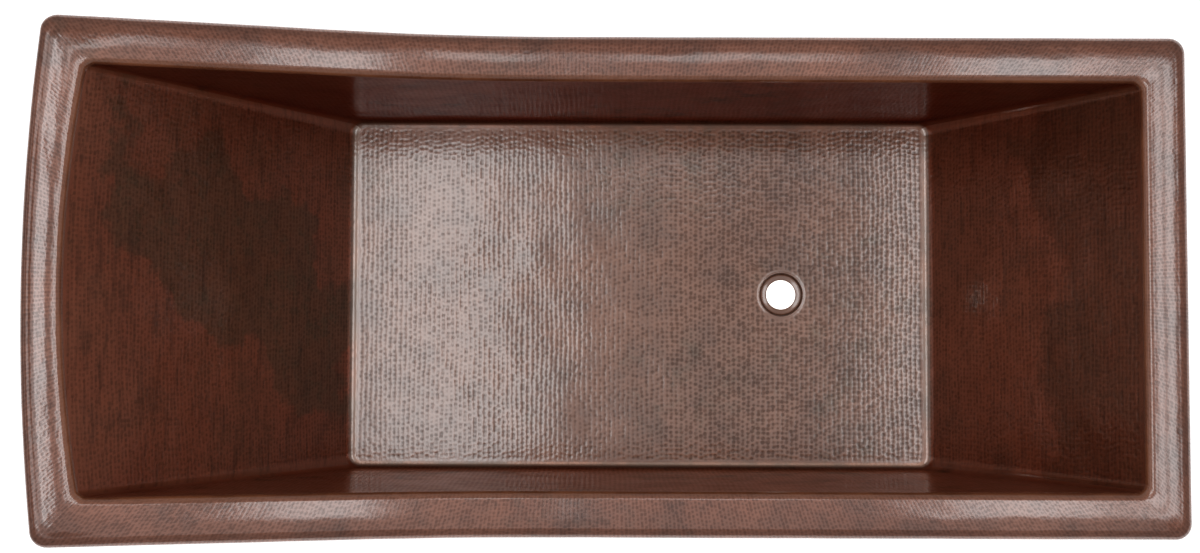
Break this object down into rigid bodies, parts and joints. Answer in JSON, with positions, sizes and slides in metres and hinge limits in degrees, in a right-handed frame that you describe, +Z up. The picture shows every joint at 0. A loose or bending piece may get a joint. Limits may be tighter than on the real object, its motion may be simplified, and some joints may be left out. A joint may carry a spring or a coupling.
{
  "type": "freestanding bathtub",
  "caption": "Rectangular double-walled hammered copper freestanding bathtub with sloping ends, a rolled rim that sweeps up to the backrest, and a floor drain hole.",
  "frame": {"origin": "on the ground under the middle of the tub's length and width", "axes": "+X to the foot end, where the drain is; +Y to the bather's left; +Z up"},
  "size_m": [1.829, 0.813, 0.7824],
  "materials": {
    "basin_copper": "hammered copper sheet with a dark brown patina, sealed to a gloss",
    "rim_copper": "hammered copper with a brown patina, worn brighter along the crown",
    "skin_copper": "hammered copper sheet with a dark brown patina",
    "frame_steel": "galvanised mild steel tube and bar",
    "zinc_steel": "zinc-plated fasteners",
    "plywood": "raw birch plywood",
    "mat_rubber": "matt sound-damping mat",
    "pad_rubber": "matt moulded rubber"
  },
  "bodies": {
    "tub": {"basin_floor": "basin_copper", "basin_head": "basin_copper", "basin_foot": "basin_copper", "basin_side_left": "basin_copper", "basin_side_right": "basin_copper", "rim_head": "rim_copper", "rim_foot": "rim_copper", "rim_left": "rim_copper", "rim_right": "rim_copper", "rim_core_head": "frame_steel", "rim_core_foot": "frame_steel", "rim_core_left": "frame_steel", "rim_core_right": "frame_steel", "skin_head": "skin_copper", "skin_foot": "skin_copper", "skin_left": "skin_copper", "skin_right": "skin_copper", "side_posts_left": "frame_steel", "side_posts_right": "frame_steel", "head_struts": "frame_steel", "foot_struts": "frame_steel", "base_rail_left": "frame_steel", "base_rail_right": "frame_steel", "crossmember_1": "frame_steel", "crossmember_2": "frame_steel", "crossmember_3": "frame_steel", "crossmember_4": "frame_steel", "crossmember_5": "frame_steel", "crossmember_6": "frame_steel", "support_board": "plywood", "damping_mat": "mat_rubber", "weld_nuts": "zinc_steel", "lock_nuts": "zinc_steel"},
    "leveller_1": {"leveller_pad_1": "pad_rubber", "leveller_stud_1": "zinc_steel"},
    "leveller_2": {"leveller_pad_2": "pad_rubber", "leveller_stud_2": "zinc_steel"},
    "leveller_3": {"leveller_pad_3": "pad_rubber", "leveller_stud_3": "zinc_steel"},
    "leveller_4": {"leveller_pad_4": "pad_rubber", "leveller_stud_4": "zinc_steel"}
  },
  "joints": [
    {"name": "leveller_1_travel", "type": "slide", "parent": "tub", "child": "leveller_1", "axis": [0, 0, -1], "range_m": [0, 0.02]},
    {"name": "leveller_2_travel", "type": "slide", "parent": "tub", "child": "leveller_2", "axis": [0, 0, -1], "range_m": [0, 0.02]},
    {"name": "leveller_3_travel", "type": "slide", "parent": "tub", "child": "leveller_3", "axis": [0, 0, -1], "range_m": [0, 0.02]},
    {"name": "leveller_4_travel", "type": "slide", "parent": "tub", "child": "leveller_4", "axis": [0, 0, -1], "range_m": [0, 0.02]}
  ]
}
